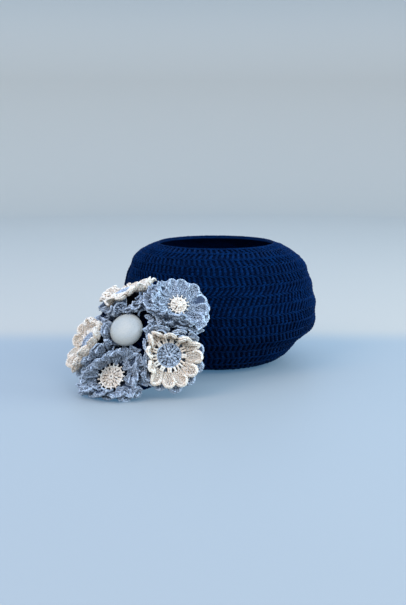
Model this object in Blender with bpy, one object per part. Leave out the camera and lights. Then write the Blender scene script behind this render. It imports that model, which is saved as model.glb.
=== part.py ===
"""A crocheted tea cosy: a navy cover for a round teapot, and beside it the flowered cover of the pot's lid.

The pot cover is one cloth, open at its neck and hem, with a slit for the spout and two for the handle.
The lid cover is a shallow cap that leans against the pot cover. Five double flowers are sewn on it round a
white knob, and where two flowers crowd each other their petals stand up along the plane between them.

The origin is on the pot cover's axis, on the table. +X points to the spout and -Y to the front.
"""
import math

import bmesh
import bpy
import numpy as np
from mathutils import Matrix, Vector
from mathutils.bvhtree import BVHTree

MM = 0.001
GAP = 0.3 * MM
CLOTH_GAP = 2.0 * MM

# The pot cover. Its outline is (outside radius, height) in millimetres, hem first.
COVER_WALL = 2.5 * MM
HEM_WIDTH = 3.0 * MM
COVER_OUTLINE = (
    (40.0, 0.0),
    (52.0, 3.2),
    (60.5, 8.0),
    (66.5, 14.0),
    (71.8, 21.5),
    (79.0, 31.0),
    (82.6, 42.0),
    (83.2, 52.0),
    (80.8, 64.0),
    (77.4, 76.0),
    (73.2, 87.5),
    (66.5, 94.6),
    (58.0, 99.6),
    (49.6, 102.6),
)
COVER_HEIGHT = COVER_OUTLINE[-1][1] * MM
# Heights of the rings of faces, in millimetres. Each slit begins and ends on a ring.
COVER_RINGS = (0, 3.2, 10, 21, 27, 33, 42, 52, 62, 67, 72, 79, 86, 92, 97.5, 102.6)
COVER_COLUMNS = 18
# The belly is fuller towards the spout and flatter towards the handle, between these heights.
BELLY_SHIFT = 2.4 * MM
BELLY_LOW, BELLY_HIGH = 18.0 * MM, 98.0 * MM
COVER_WAVE = 0.5 * MM
SPOUT_SIDE, HANDLE_SIDE = 0, 1
# One row for each slit: its side, lowest and highest point and half its width; then how far its two lips
# stand out, the height where they stand out most and how far up and down that carries.
SLITS = (
    # side, low, high, half width, front lip, back lip, lip height, lip spread (mm)
    (SPOUT_SIDE, 21.0, 72.0, 12.0, 4.4, 4.4, 28.0, 12.0),
    (HANDLE_SIDE, 21.0, 42.0, 7.0, 1.5, 1.5, 30.0, 9.0),
    (HANDLE_SIDE, 62.0, 92.0, 8.0, -1.2, 2.4, 73.0, 9.0),
)
LIP_REACH = 0.20

# The lid cover: a cap of rim radius and height, leaning back and turned a little to the left.
LID_CENTRE = Vector((-61.8, -95.5, 35.0)) * MM
LID_TURN = math.radians(20.0)
LID_LEAN = math.radians(33.0)
LID_RADIUS = 40.0 * MM
LID_HEIGHT = 15.5 * MM
LID_FULLNESS = 2.6
LID_WALL = 2.5 * MM
LID_HOLE = 6.0 * MM
LID_COLUMNS = 24
LID_RINGS = 5

# The knob, on the lid cover's axis. Its outline is (radius, height above its underside) in millimetres.
KNOB_UNDERSIDE = 21.5 * MM
KNOB_SIDES = 20
KNOB_OUTLINE = (
    (0.0, -9.0),
    (4.0, -9.0),
    (4.0, -0.5),
    (10.6, 0.6),
    (12.6, 2.4),
    (13.0, 4.4),
    (12.2, 6.4),
    (9.8, 8.4),
    (5.6, 9.6),
    (0.0, 10.2),
)
KNOB_CLEARANCE = 13.4 * MM

# The flowers. Each layer is a scalloped sheet of cloth.
PETAL_CLOTH = 2.0 * MM
LAYER_STEP = 2.9 * MM
CENTRE_RADIUS = 9.8 * MM
CENTRE_RISE = 3.0 * MM
PETALS = 12
NOTCH = 0.20
FRONT_LEVEL = -0.9 * MM
FRONT_RISE = 3.0 * MM
FRONT_COLUMNS, FRONT_RINGS = 48, 3
BACK_RISE = 1.0 * MM
BACK_LONGER = 1.5 * MM
BACK_COLUMNS, BACK_RINGS = 36, 3
FOLD_SOFTNESS = 2.0 * MM
TOUCH_SOFTNESS = 0.6 * MM
FOLD_LIFT = 0.9
# One row for each flower: its place round the knob, distance from the knob's axis, height above the cap's
# rim, lean outward, lean sideways, how far its front round is tipped off its back round about their outer
# edge, petal reach and colour. Places are in millimetres and degrees.
FLOWERS = (
    # name, round, out, height, lean out, lean round, tip, reach, colour
    ("upper_right", 35.5, 43.4, 20.0, 25.0, -15.0, 0.0, 24.0, "grey"),
    ("lower_right", -23.0, 38.8, 18.5, 30.0, 0.0, 0.0, 26.0, "cream"),
    ("lower_left", -99.0, 37.1, 20.0, -3.0, 0.0, 0.0, 26.5, "grey"),
    ("left", -161.0, 34.2, 18.5, 40.0, -14.0, 8.0, 25.0, "cream"),
    ("top", 106.0, 36.0, 20.0, 54.0, 6.0, 12.0, 25.5, "cream"),
)
# How the space between two neighbours is shared: the first one's part of the distance between their
# centres, and the turn of the plane that parts them.
NEIGHBOURS = (
    # first, second, share, turn (degrees)
    (0, 1, 0.50, 0.0),
    (1, 2, 0.42, -20.0),
    (2, 3, 0.48, 0.0),
    (3, 4, 0.50, 0.0),
    (4, 0, 0.50, 0.0),
)

FINISHES = {
    # name: colour, roughness
    "navy": ((0.012, 0.024, 0.075), 0.9),
    "grey": ((0.30, 0.35, 0.46), 0.85),
    "cream": ((0.80, 0.70, 0.55), 0.85),
    "white": ((0.78, 0.78, 0.76), 0.12),
}


def clear_scene():
    for item in list(bpy.data.objects):
        bpy.data.objects.remove(item)


def finish(name):
    colour, roughness = FINISHES[name]
    material = bpy.data.materials.get(name) or bpy.data.materials.new(name)
    material.use_nodes = True
    shader = material.node_tree.nodes["Principled BSDF"]
    shader.inputs["Base Color"].default_value = (*colour, 1.0)
    shader.inputs["Roughness"].default_value = roughness
    return material


def add_object(name, points, faces, material, parent=None):
    """A named object from points and faces, with its faces turned outward where it is closed."""
    mesh = bpy.data.meshes.new(name)
    mesh.from_pydata([tuple(p) for p in points], [], faces)
    work = bmesh.new()
    work.from_mesh(mesh)
    bmesh.ops.recalc_face_normals(work, faces=work.faces)
    work.to_mesh(mesh)
    work.free()
    mesh.materials.append(finish(material))
    mesh.shade_smooth()
    mesh.set_sharp_from_angle(angle=math.radians(40))
    item = bpy.data.objects.new(name, mesh)
    item.parent = parent
    bpy.context.collection.objects.link(item)
    return item


def smooth_outline(points, steps=12):
    """A Catmull-Rom curve through the points, with so many steps to each span."""
    points = np.array(points, float)
    padded = np.vstack((2 * points[0] - points[1], points, 2 * points[-1] - points[-2]))
    t = np.linspace(0, 1, steps, endpoint=False)[:, None]
    spans = []
    for k in range(len(points) - 1):
        a, b, c, d = padded[k : k + 4]
        bend = (2 * a - 5 * b + 4 * c - d) * t**2 + (3 * b - a - 3 * c + d) * t**3
        spans.append(0.5 * (2 * b + (c - a) * t + bend))
    return np.vstack(spans + [points[-1:]])


def cover_radius(height):
    """The pot cover's outside radius at a height, before its belly is shifted."""
    curve = smooth_outline(COVER_OUTLINE) * MM
    return np.interp(height, curve[:, 1], curve[:, 0])


def cover_slope(height):
    """How fast the outside radius grows with height."""
    low, high = np.maximum(height - MM, 0), np.minimum(height + MM, COVER_HEIGHT)
    return (cover_radius(high) - cover_radius(low)) / (high - low)


def belly(height):
    """How much of the belly's shift a height has: none at the hem and neck, all of it between."""
    rise = np.clip((height - BELLY_LOW) / (12 * MM), 0, 1)
    fall = np.clip((BELLY_HIGH - height) / (18 * MM), 0, 1)
    return (rise * rise * (3 - 2 * rise)) * (fall * fall * (3 - 2 * fall))


def slit_half_angle(side, height):
    """Half the angle that the slits of one side open at a height: each is a lens, pointed at both ends."""
    for slit_side, low, high, half_width in (row[:4] for row in SLITS):
        along = (height / MM - low) / (high - low)
        if slit_side == side and 0 < along < 1:
            return half_width * MM * math.sin(math.pi * along) ** 0.7 / float(cover_radius(height))
    return 0.0


def lips(side, half, angle_off, height):
    """How far the cloth of one half, front or back, stands out beside the slits of one side."""
    stand = 0.0
    for row in SLITS:
        slit_side, low, high = row[:3]
        lip_height, lip_spread = row[6:]
        if slit_side == side and low < height / MM < high:
            swell = math.exp(-(((height / MM - lip_height) / lip_spread) ** 2))
            stand += row[4 + half] * MM * swell * math.exp(-((angle_off / LIP_REACH) ** 2))
    return stand


def pot_cover():
    """Two half rounds of cloth, front and back, that share their edge wherever no slit parts them."""
    heights = np.array(COVER_RINGS) * MM
    slope = cover_slope(heights)
    lean = np.sqrt(1 + slope**2)
    outside = np.stack((cover_radius(heights), heights), 1)
    inside = outside - COVER_WALL * np.stack((1 / lean, -slope / lean), 1)
    inside[0] = outside[0, 0] - HEM_WIDTH, 0.0
    points, faces = [], []

    def place(half, angle, radius, height, ring_height):
        """A point of the cloth. The angle runs from the spout to the handle, in front or behind."""
        stand = lips(SPOUT_SIDE, half, angle, ring_height) + lips(HANDLE_SIDE, half, math.pi - angle, ring_height)
        turn = angle if half else -angle
        share = math.sin(math.pi * ring_height / COVER_HEIGHT)
        stand += COVER_WAVE * math.sin(5 * turn + 40 * ring_height / COVER_HEIGHT) * share
        stand += BELLY_SHIFT * math.cos(angle) * float(belly(ring_height))
        radius += stand
        points.append((radius * math.cos(turn), radius * math.sin(turn), height))
        return len(points) - 1

    def skin(outline):
        """Point numbers of one skin, by half, ring and column."""
        halves = ([], [])
        for (radius, height), ring_height in zip(outline, heights):
            start = slit_half_angle(SPOUT_SIDE, ring_height)
            end = math.pi - slit_half_angle(HANDLE_SIDE, ring_height)
            angles = np.linspace(start, end, COVER_COLUMNS)
            front = [place(0, angle, radius, height, ring_height) for angle in angles]
            back = [place(1, angle, radius, height, ring_height) for angle in angles[1:-1]]
            first = place(1, start, radius, height, ring_height) if start > 0 else front[0]
            last = place(1, end, radius, height, ring_height) if end < math.pi else front[-1]
            halves[0].append(front)
            halves[1].append([first] + back + [last])
        return halves

    outer, inner = skin(outside), skin(inside)
    rings = len(heights)
    for half in (0, 1):
        out, inn = outer[half], inner[half]
        for ring in range(rings - 1):
            for column in range(COVER_COLUMNS - 1):
                for grid in (out, inn):
                    low, high = grid[ring], grid[ring + 1]
                    faces.append((low[column], low[column + 1], high[column + 1], high[column]))
        for ring in (0, rings - 1):
            for column in range(COVER_COLUMNS - 1):
                edge_out, edge_in = out[ring], inn[ring]
                faces.append((edge_out[column], edge_out[column + 1], edge_in[column + 1], edge_in[column]))
        for column in (0, COVER_COLUMNS - 1):
            for ring in range(rings - 1):
                shared = [outer[0][k][column] == outer[1][k][column] for k in (ring, ring + 1)]
                if not all(shared):
                    faces.append((out[ring][column], out[ring + 1][column], inn[ring + 1][column], inn[ring][column]))
    return add_object("pot_cover", points, faces, "navy")


def lathe(name, outline, sides, material, parent, closed_ring=False):
    """A turned solid about local Z. The outline runs from axis to axis, or round a closed ring."""
    points, rows, faces = [], [], []
    for radius, height in outline:
        start = len(points)
        if radius == 0:
            points.append((0, 0, height))
            rows.append([start] * sides)
            continue
        for side in range(sides):
            angle = math.tau * side / sides
            points.append((radius * math.cos(angle), radius * math.sin(angle), height))
        rows.append(list(range(start, start + sides)))
    spans = list(zip(rows, rows[1:])) + ([(rows[-1], rows[0])] if closed_ring else [])
    for low, high in spans:
        for side in range(sides):
            near = (side + 1) % sides
            corners = (low[side], low[near], high[near], high[side])
            faces.append(tuple(dict.fromkeys(corners)))
    return add_object(name, points, faces, material, parent)


def lid_cover(lid):
    """A cap with a hole in its middle, hollow below. Its section is a quarter of a superellipse."""
    turn = np.linspace(0, math.pi / 2, LID_RINGS + 1)
    radius = np.maximum(LID_RADIUS * np.sin(turn) ** (2 / LID_FULLNESS), LID_HOLE)
    height = LID_HEIGHT * (1 - (radius / LID_RADIUS) ** LID_FULLNESS) ** (1 / LID_FULLNESS)
    shrink = (LID_RADIUS - LID_WALL) / LID_RADIUS
    sink = (LID_HEIGHT - LID_WALL) / LID_HEIGHT
    outside = [(float(r), float(h)) for r, h in zip(radius, height)]
    inside = [(max(r * shrink, LID_HOLE), h * sink) for r, h in outside]
    return lathe("lid_cover", outside + inside[::-1], LID_COLUMNS, "navy", lid, closed_ring=True)


def knob(lid):
    outline = [(r * MM, KNOB_UNDERSIDE + h * MM) for r, h in KNOB_OUTLINE]
    return lathe("lid_knob", outline, KNOB_SIDES, "white", lid)


def front_frame(number):
    """A flower's centre and its three axes in the lid's frame: outward, round and out of its face."""
    _, around, out, height, lean_out, lean_round = FLOWERS[number][:6]
    angle = math.radians(around)
    outward = Vector((math.cos(angle), math.sin(angle), 0))
    sideways = Vector((-math.sin(angle), math.cos(angle), 0))
    lean = Matrix.Rotation(math.radians(lean_out), 3, sideways)
    lean = lean @ Matrix.Rotation(math.radians(-lean_round), 3, outward)
    centre = outward * out * MM + Vector((0, 0, height * MM))
    return centre, lean @ outward, lean @ sideways, lean @ Vector((0, 0, 1))


def back_frame(number):
    """The same for the back round, which lies flatter: it is turned about the outer edge that both share."""
    centre, outward, sideways, normal = front_frame(number)
    tip, reach = math.radians(FLOWERS[number][6]), FLOWERS[number][7] * MM
    edge = centre + reach * outward + (FRONT_LEVEL - LAYER_STEP) * normal
    turn = Matrix.Rotation(-tip, 3, sideways)
    return edge - reach * (turn @ outward), turn @ outward, sideways, turn @ normal


def push(points, distance, direction, margin, softness, lift=0.0):
    """Moves points that are nearer than margin along direction, and lifts them by a share of what they moved.

    The move grows as a square over the first softness on each side of the margin and is straight from there.
    """
    over = np.clip(margin + softness - distance, 0, None)
    ease = np.where(over < 2 * softness, over**2 / (4 * softness), over - softness)
    return points + ease[:, None] * (direction + lift)


def settle(points, number, margin, lid):
    """Keeps a flower's sheet on its own side of its neighbours, and off the knob, cap, table and pot cover."""
    centre, _, _, normal = (np.array(v) for v in front_frame(number))
    turn = np.array(lid.matrix_world.to_3x3())
    place = np.array(lid.matrix_world.translation)
    lift = FOLD_LIFT * normal
    cap = np.array((LID_RADIUS, LID_RADIUS, LID_HEIGHT))
    for _ in range(3):
        for first, second, share, plane_turn in NEIGHBOURS:
            if number in (first, second):
                other = second if number == first else first
                part = share if number == first else 1 - share
                away = centre - np.array(front_frame(other)[0])
                reach = np.linalg.norm(away)
                facing = np.array(Matrix.Rotation(math.radians(plane_turn), 3, "Z") @ Vector(away / reach))
                distance = (points - centre) @ facing + part * reach
                points = push(points, distance, facing, margin, FOLD_SOFTNESS, lift)
        radial = points * (1, 1, 0)
        size = np.linalg.norm(radial, axis=1)
        radial = radial / size[:, None]
        points = push(points, size - KNOB_CLEARANCE, radial, margin, FOLD_SOFTNESS, lift)
        scaled = points / cap
        level = np.sum(np.abs(scaled) ** LID_FULLNESS, 1) ** (1 / LID_FULLNESS)
        slope = np.sign(scaled) * np.abs(scaled) ** (LID_FULLNESS - 1) / cap
        slope = slope * (level ** (1 - LID_FULLNESS))[:, None]
        steep = np.linalg.norm(slope, axis=1)
        points = push(points, (level - 1) / steep, slope / steep[:, None], margin + GAP, TOUCH_SOFTNESS)
        world = points @ turn.T + place
        radius = np.linalg.norm(world[:, :2], axis=1)
        height = np.clip(world[:, 2], 0, COVER_HEIGHT)
        slope = cover_slope(height)
        lean = np.sqrt(1 + slope**2)
        clear = (radius - cover_radius(height)) / lean - CLOTH_GAP
        away = np.stack((world[:, 0] / radius / lean, world[:, 1] / radius / lean, -slope / lean), 1)
        points = push(points, clear, away @ turn, margin, TOUCH_SOFTNESS)
        world = points @ turn.T + place
        points = push(points, world[:, 2], np.array((0, 0, 1.0)) @ turn, margin, TOUCH_SOFTNESS)
    return points


def in_front(points, sheet, faces, facing, step):
    """Moves points until each is a step or more in front of a sheet whose face looks along facing."""
    tree = BVHTree.FromPolygons([Vector(point) for point in sheet], faces)
    moved = []
    for point in (Vector(point) for point in points):
        near, normal, _, distance = tree.find_nearest(point)
        normal = -normal if normal.dot(facing) < 0 else normal
        ahead = (point - near).dot(normal)
        beside = math.sqrt(max(distance**2 - ahead**2, 0))
        moved.append(point + max(step - ahead, 0) * normal if beside < step else point)
    return np.array(moved)


def petal_edge(turn, phase):
    """Petal length as a share of the reach: round tips with a notch between each two."""
    return 1 - NOTCH * (1 - np.abs(np.cos(PETALS * (turn - phase) / 2)) ** 0.8)


def petal_sheet(frame, start, reach, rise, columns, rings, phase):
    """A round sheet, ring by ring from the start radius out to its scalloped edge, rising outward."""
    centre, outward, sideways, normal = (np.array(v) for v in frame)
    turn = np.linspace(0, math.tau, columns, endpoint=False)
    along = np.linspace(0, 1, rings + 1)[:, None]
    radius = start + (reach * petal_edge(turn, phase) - start) * along
    height = rise * along**1.6 * np.ones(columns)
    flat = np.cos(turn)[:, None] * outward + np.sin(turn)[:, None] * sideways
    return (centre + radius[..., None] * flat + height[..., None] * normal).reshape(-1, 3)


def sheet_faces(columns, rings):
    """Quads between the rings of a round sheet."""
    faces = []
    for ring in range(rings):
        for column in range(columns):
            near = (column + 1) % columns
            low, high = ring * columns, (ring + 1) * columns
            faces.append((low + column, low + near, high + near, high + column))
    return faces


def thicken(item):
    wall = item.modifiers.new("cloth", "SOLIDIFY")
    wall.thickness = PETAL_CLOTH
    wall.offset = 0


def back_sheet(number, lid):
    """The middle of the back round: a whole disc of petals, turned by half a petal, and its faces."""
    reach = FLOWERS[number][7] * MM + BACK_LONGER
    frame = back_frame(number)
    start = CENTRE_RADIUS * 0.7
    sheet = petal_sheet(frame, start, reach, BACK_RISE, BACK_COLUMNS, BACK_RINGS - 1, math.pi / PETALS)
    points = settle(np.vstack((sheet, frame[0])), number, 0.5 * (PETAL_CLOTH + GAP), lid)
    middle = len(points) - 1
    faces = sheet_faces(BACK_COLUMNS, BACK_RINGS - 1)
    faces += [(column, (column + 1) % BACK_COLUMNS, middle) for column in range(BACK_COLUMNS)]
    return points, faces


def front_sheet(number, lid):
    """The middle of the front round: a ring of petals round the centre disc, in front of the back round."""
    centre, outward, sideways, normal = front_frame(number)
    frame = (centre + FRONT_LEVEL * normal, outward, sideways, normal)
    reach = FLOWERS[number][7] * MM
    sheet = petal_sheet(frame, CENTRE_RADIUS + GAP, reach, FRONT_RISE, FRONT_COLUMNS, FRONT_RINGS, 0.0)
    points = settle(sheet, number, 0.5 * (PETAL_CLOTH + GAP) + LAYER_STEP, lid)
    for _ in range(2):
        points = in_front(points, *back_sheet(number, lid), normal, LAYER_STEP)
    return points, sheet_faces(FRONT_COLUMNS, FRONT_RINGS)


def petal_rounds(number, lid):
    """Both rounds of a flower, as thick as their cloth."""
    name, colour = FLOWERS[number][0], FLOWERS[number][8]
    thicken(add_object(f"flower_{name}_back", *back_sheet(number, lid), "grey", lid))
    thicken(add_object(f"flower_{name}_front", *front_sheet(number, lid), colour, lid))


def centre_disc(number, lid):
    """The flower's centre: a low dome that fills the front round's hole."""
    name, colour = FLOWERS[number][0], FLOWERS[number][8]
    centre, outward, sideways, normal = front_frame(number)
    low = FRONT_LEVEL - 0.5 * PETAL_CLOTH
    rim = CENTRE_RADIUS - GAP
    outline = ((0.0, low), (rim, low), (rim, 0.3 * CENTRE_RISE), (0.6 * rim, 0.8 * CENTRE_RISE), (0.0, CENTRE_RISE))
    disc = lathe(f"flower_{name}_centre", outline, 16, "cream" if colour == "grey" else "grey", lid)
    axes = Matrix((outward, sideways, normal)).transposed()
    disc.matrix_local = Matrix.Translation(centre) @ axes.to_4x4()


def lid_frame():
    """An empty in the middle of the lid cover's rim. Its Z is the cap's axis and its Y points up the cap."""
    lid = bpy.data.objects.new("lid_frame", None)
    bpy.context.collection.objects.link(lid)
    lid.location = LID_CENTRE
    lid.rotation_euler = (math.pi / 2 - LID_LEAN, 0, -LID_TURN)
    bpy.context.view_layer.update()
    return lid


def main():
    clear_scene()
    pot_cover()
    lid = lid_frame()
    lid_cover(lid)
    knob(lid)
    for number in range(len(FLOWERS)):
        petal_rounds(number, lid)
        centre_disc(number, lid)


main()
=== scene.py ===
"""Looks of a crocheted tea cosy: the navy cover of a round teapot and the flowered cover of the pot's lid.

Every crocheted piece is a thin cloth with its yarn laid on it, stitch by stitch. Yarn is drawn flat, in
millimetres, as short strands carried along paths, and then laid on the cloth's own surface.
"""

import math

import bmesh
import bpy
import numpy as np
from mathutils import Matrix, Vector


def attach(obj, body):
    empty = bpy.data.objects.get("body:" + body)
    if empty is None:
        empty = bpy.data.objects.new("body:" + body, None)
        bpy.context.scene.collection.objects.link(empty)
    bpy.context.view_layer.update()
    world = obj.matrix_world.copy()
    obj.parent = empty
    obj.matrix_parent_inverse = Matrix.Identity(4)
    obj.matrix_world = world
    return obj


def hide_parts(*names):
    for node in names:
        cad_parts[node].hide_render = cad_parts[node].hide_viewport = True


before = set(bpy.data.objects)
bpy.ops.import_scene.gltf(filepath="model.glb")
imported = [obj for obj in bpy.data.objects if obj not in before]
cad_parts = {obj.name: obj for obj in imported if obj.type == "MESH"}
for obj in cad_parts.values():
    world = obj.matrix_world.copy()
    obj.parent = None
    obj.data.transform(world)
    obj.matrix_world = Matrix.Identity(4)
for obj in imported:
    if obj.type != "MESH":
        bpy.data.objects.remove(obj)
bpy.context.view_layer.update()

MM = 0.001
TURN = 2 * math.pi

# The pot cover, in millimetres: its outline is (outside radius, height), hem first.
COVER_OUTLINE = (
    (40.0, 0.0), (52.0, 3.2), (60.5, 8.0), (66.5, 14.0), (71.8, 21.5), (79.0, 31.0), (82.6, 42.0),
    (83.2, 52.0), (80.8, 64.0), (77.4, 76.0), (73.2, 87.5), (66.5, 94.6), (58.0, 99.6), (49.6, 102.6),
)
COVER_HEIGHT = 102.6
BELLY_SHIFT, BELLY_LOW, BELLY_HIGH = 2.4, 18.0, 98.0
COVER_WAVE = 0.5
SPOUT_SIDE, HANDLE_SIDE = 0, 1
SLITS = (
    # side, low, high, half width, front lip, back lip, lip height, lip spread
    (SPOUT_SIDE, 21.0, 72.0, 12.0, 4.4, 4.4, 28.0, 12.0),
    (HANDLE_SIDE, 21.0, 42.0, 7.0, 1.5, 1.5, 30.0, 9.0),
    (HANDLE_SIDE, 62.0, 92.0, 8.0, -1.2, 2.4, 73.0, 9.0),
)
LIP_REACH = 0.20

# Stitches of the navy covers, and half widths along their strands.
ROW_HEIGHT = 8.2
STITCH_PITCH, EDGE_PITCH = 4.5, 2.6
POST_LEAN = 1.5
WRAP_WIDTHS = (0.78, 1.30, 1.30, 0.78)
RIDGE_WIDTHS = (0.45, 0.80, 0.80, 0.45)
EDGE_WIDTHS = (0.55, 0.90, 0.90, 0.55)
HEM_INSET = 1.5
# The cloth behind them: its sides off the outside surface, its ribs' depth and number, and a mean radius that
# turns millimetres into shares of a half.
CLOTH_FRONT, COVER_CLOTH_BACK, CAP_CLOTH_BACK = -1.2, -2.2, -2.0
RIB, RIBS = 0.30, 16
MEAN_RADIUS = 75

# The lid cover and its place, in millimetres and degrees.
LID_CENTRE = np.array((-61.8, -95.5, 35.0))
LID_TURN, LID_LEAN = 20.0, 33.0
LID_RADIUS, LID_HEIGHT, LID_FULLNESS, LID_HOLE = 40.0, 15.5, 2.6, 6.0

KNOB_UNDERSIDE = 21.5
KNOB_OUTLINE = (
    (0.0, -9.0), (4.0, -9.0), (4.0, -0.5), (10.6, 0.6), (12.6, 2.4), (13.0, 4.4), (12.2, 6.4),
    (9.8, 8.4), (5.6, 9.6), (0.0, 10.2),
)
KNOB_SIDES = 72
KNOB_CLEARANCE = 13.4

# The flowers: each has a back round and a front round of petals, and a centre.
APART = 0.3
COVER_CLEARANCE = 2.0
TABLE_CLEARANCE = 0.1
PETAL_CLOTH = 2.0
LAYER_STEP = 2.9
CENTRE_RADIUS = 9.8
FRONT_LEVEL, FRONT_RISE = -0.9, 3.0
BACK_START, BACK_RISE, BACK_LONGER = 0.7 * CENTRE_RADIUS, 1.0, 1.5
FRONT_BULGE, BACK_BULGE = 1.8, 1.2
FOLD_SOFTNESS, TOUCH_SOFTNESS, FOLD_LIFT = 2.0, 0.6, 0.9
PETALS = 12
FLOWERS = (
    # name, round, out, height, lean out, lean round, tip, reach, colour
    ("upper_right", 35.5, 43.4, 20.0, 25.0, -15.0, 0.0, 24.0, "grey"),
    ("lower_right", -23.0, 38.8, 18.5, 30.0, 0.0, 0.0, 26.0, "cream"),
    ("lower_left", -99.0, 37.1, 20.0, -3.0, 0.0, 0.0, 26.5, "grey"),
    ("left", -161.0, 34.2, 18.5, 40.0, -14.0, 8.0, 25.0, "cream"),
    ("top", 106.0, 36.0, 20.0, 54.0, 6.0, 12.0, 25.5, "cream"),
)
CURLS = (
    # flower, curl towards, how far each side of that, degrees of curl, unevenness
    (0, 54.0, 95.0, -27.0, 0.15),
    (3, 0.0, 100.0, 8.0, 1.0),
    (3, 180.0, 90.0, -8.0, 1.2),
    (4, 0.0, 100.0, -16.0, 0.3),
    (4, 110.0, 80.0, -30.0, 0.6),
    (4, 235.0, 80.0, -17.0, 0.9),
)
FRINGES = (
    # flower, side (1 above and -1 under its back round), towards, how far each side, fans, foot, raised
    (0, 1, -148.0, 78.0, 10, 20.5, 35.0),
    (1, 1, 172.0, 95.0, 12, 21.0, 35.0),
    (2, 1, 126.0, 50.0, 6, 21.5, 35.0),
    (3, -1, 180.0, 60.0, 6, 19.0, 25.0),
    (3, -1, 180.0, 50.0, 5, 14.0, 45.0),
    (4, 1, 220.0, 80.0, 12, 14.5, 60.0),
    (4, 1, 205.0, 85.0, 10, 20.0, 40.0),
    (4, -1, 200.0, 70.0, 6, 17.0, 35.0),
)
# Round petals: the rim's reach past the lobe, the cloth's distance inside the rim, half the lobe's angle, and
# the rim's loops as (out from the lobe, up from its edge).
RIM, CLOTH_INSIDE, LOBE_SPREAD = 1.0, 0.8, math.radians(112)
RIM_ROWS, UNDER_ROWS = ((0.85, -0.40), (0.10, 0.55)), ((0.10, 0.10),)
RIM_WIDTHS, FAN_RIM_WIDTHS = (0.42, 0.68, 0.68, 0.42), (0.42, 0.64, 0.64, 0.42)
V_WIDTHS = (0.18, 0.24, 0.19)
BACK_PHASE = TURN / 24
LAYERS = {
    # petals' start, half base above and below, lobe radius, cup, pitch of stitches, loops, hole in the cloth
    "back": (10.0, 1.8, 1.8, 4.1, 0.8, 2.35, 9, 0.0),
    "small": (6.8, 1.6, 2.4, 4.1, 1.3, 1.9, 10, 8.0),
    "grey": (12.4, 2.4, 2.4, 3.6, 1.3, 1.9, 10, 8.0),
    "cream": (12.4, 2.4, 2.4, 4.1, 1.9, 1.9, 10, 12.6),
}
CENTRES = {
    # radius, and the spokes round it: count, start, stop, heights, half width
    "small": (5.8, 14, 4.6, 8.2, (1.5, 1.6), 0.46),
    "grey": (8.6, 17, 7.4, 10.8, (1.3, 1.9), 0.62),
    "cream": (9.0,),
}
CENTRE_LEVEL, CENTRE_RISE = 0.9, 1.2
CREAM_SPOKES = (13, 9.4, 13.2, (1.2, 0.5), 0.95)
FRINGE_FAN, FRINGE_WILD = (1.0, 7.0, 3.9, 1.4, 1.5), 2.5
UNDERSIDE = np.array((1, -1, -1))
NEIGHBOURS = (
    # first, second, share, turn
    (0, 1, 0.50, 0.0),
    (1, 2, 0.42, -20.0),
    (2, 3, 0.48, 0.0),
    (3, 4, 0.50, 0.0),
    (4, 0, 0.50, 0.0),
)
# Seeds of the random draws.
COVER_SEED, CAP_SEED, FLOWER_SEED = 11, 21, 40

# The floor, and where the camera stands, its angle below level and its focal length, and where lamps point.
FLOOR_RADII, FLOOR_BEND, WALL_TOP = (0.0, 150.0, 400.0, 900.0, 1400.0), 300, 600.0
CAMERA_PLACE, CAMERA_DOWN, FOCAL_SHARE = (-11, -900, 205.5), 9.8, 1053 / 605
LAMP_AIM = (-10, -30, 45)


def spot(x, y, z):
    """Points from coordinates that broadcast together."""
    return np.stack(np.broadcast_arrays(x, y, z), -1)


def rows_of(table, key):
    """The rows of a table that start with a key, without it."""
    return [row[1:] for row in table if row[0] == key]


def polar(radius, angle, height):
    """Points at a radius, an angle round the Z axis and a height."""
    return spot(radius * np.cos(angle), radius * np.sin(angle), height)


def arch(share):
    """Half a sine: 0 at shares 0 and 1, and 1 between them."""
    return np.sin(math.pi * share)


def bow(share):
    """Half a cosine: 0 at shares -1 and 1, and 1 between them."""
    return np.cos(0.5 * math.pi * share)


def tube(rings, sides):
    """Ring and turn of each quad between rings, the quads, and the triangles to a tip at each end."""
    ring, turn = (i.ravel() for i in np.meshgrid(np.arange(rings - 1), np.arange(sides), indexing="ij"))
    here, near = ring * sides + turn, ring * sides + (turn + 1) % sides
    quads = np.stack((here, near, near + sides, here + sides), -1)
    here, near = here[:sides], near[:sides]
    tip, last = 0 * here + rings * sides, (rings - 1) * sides
    caps = np.concatenate((np.stack((near, here, tip), 1), np.stack((last + here, last + near, tip + 1), 1)))
    return ring, turn, quads, caps


# ---- strands and cloth


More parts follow.
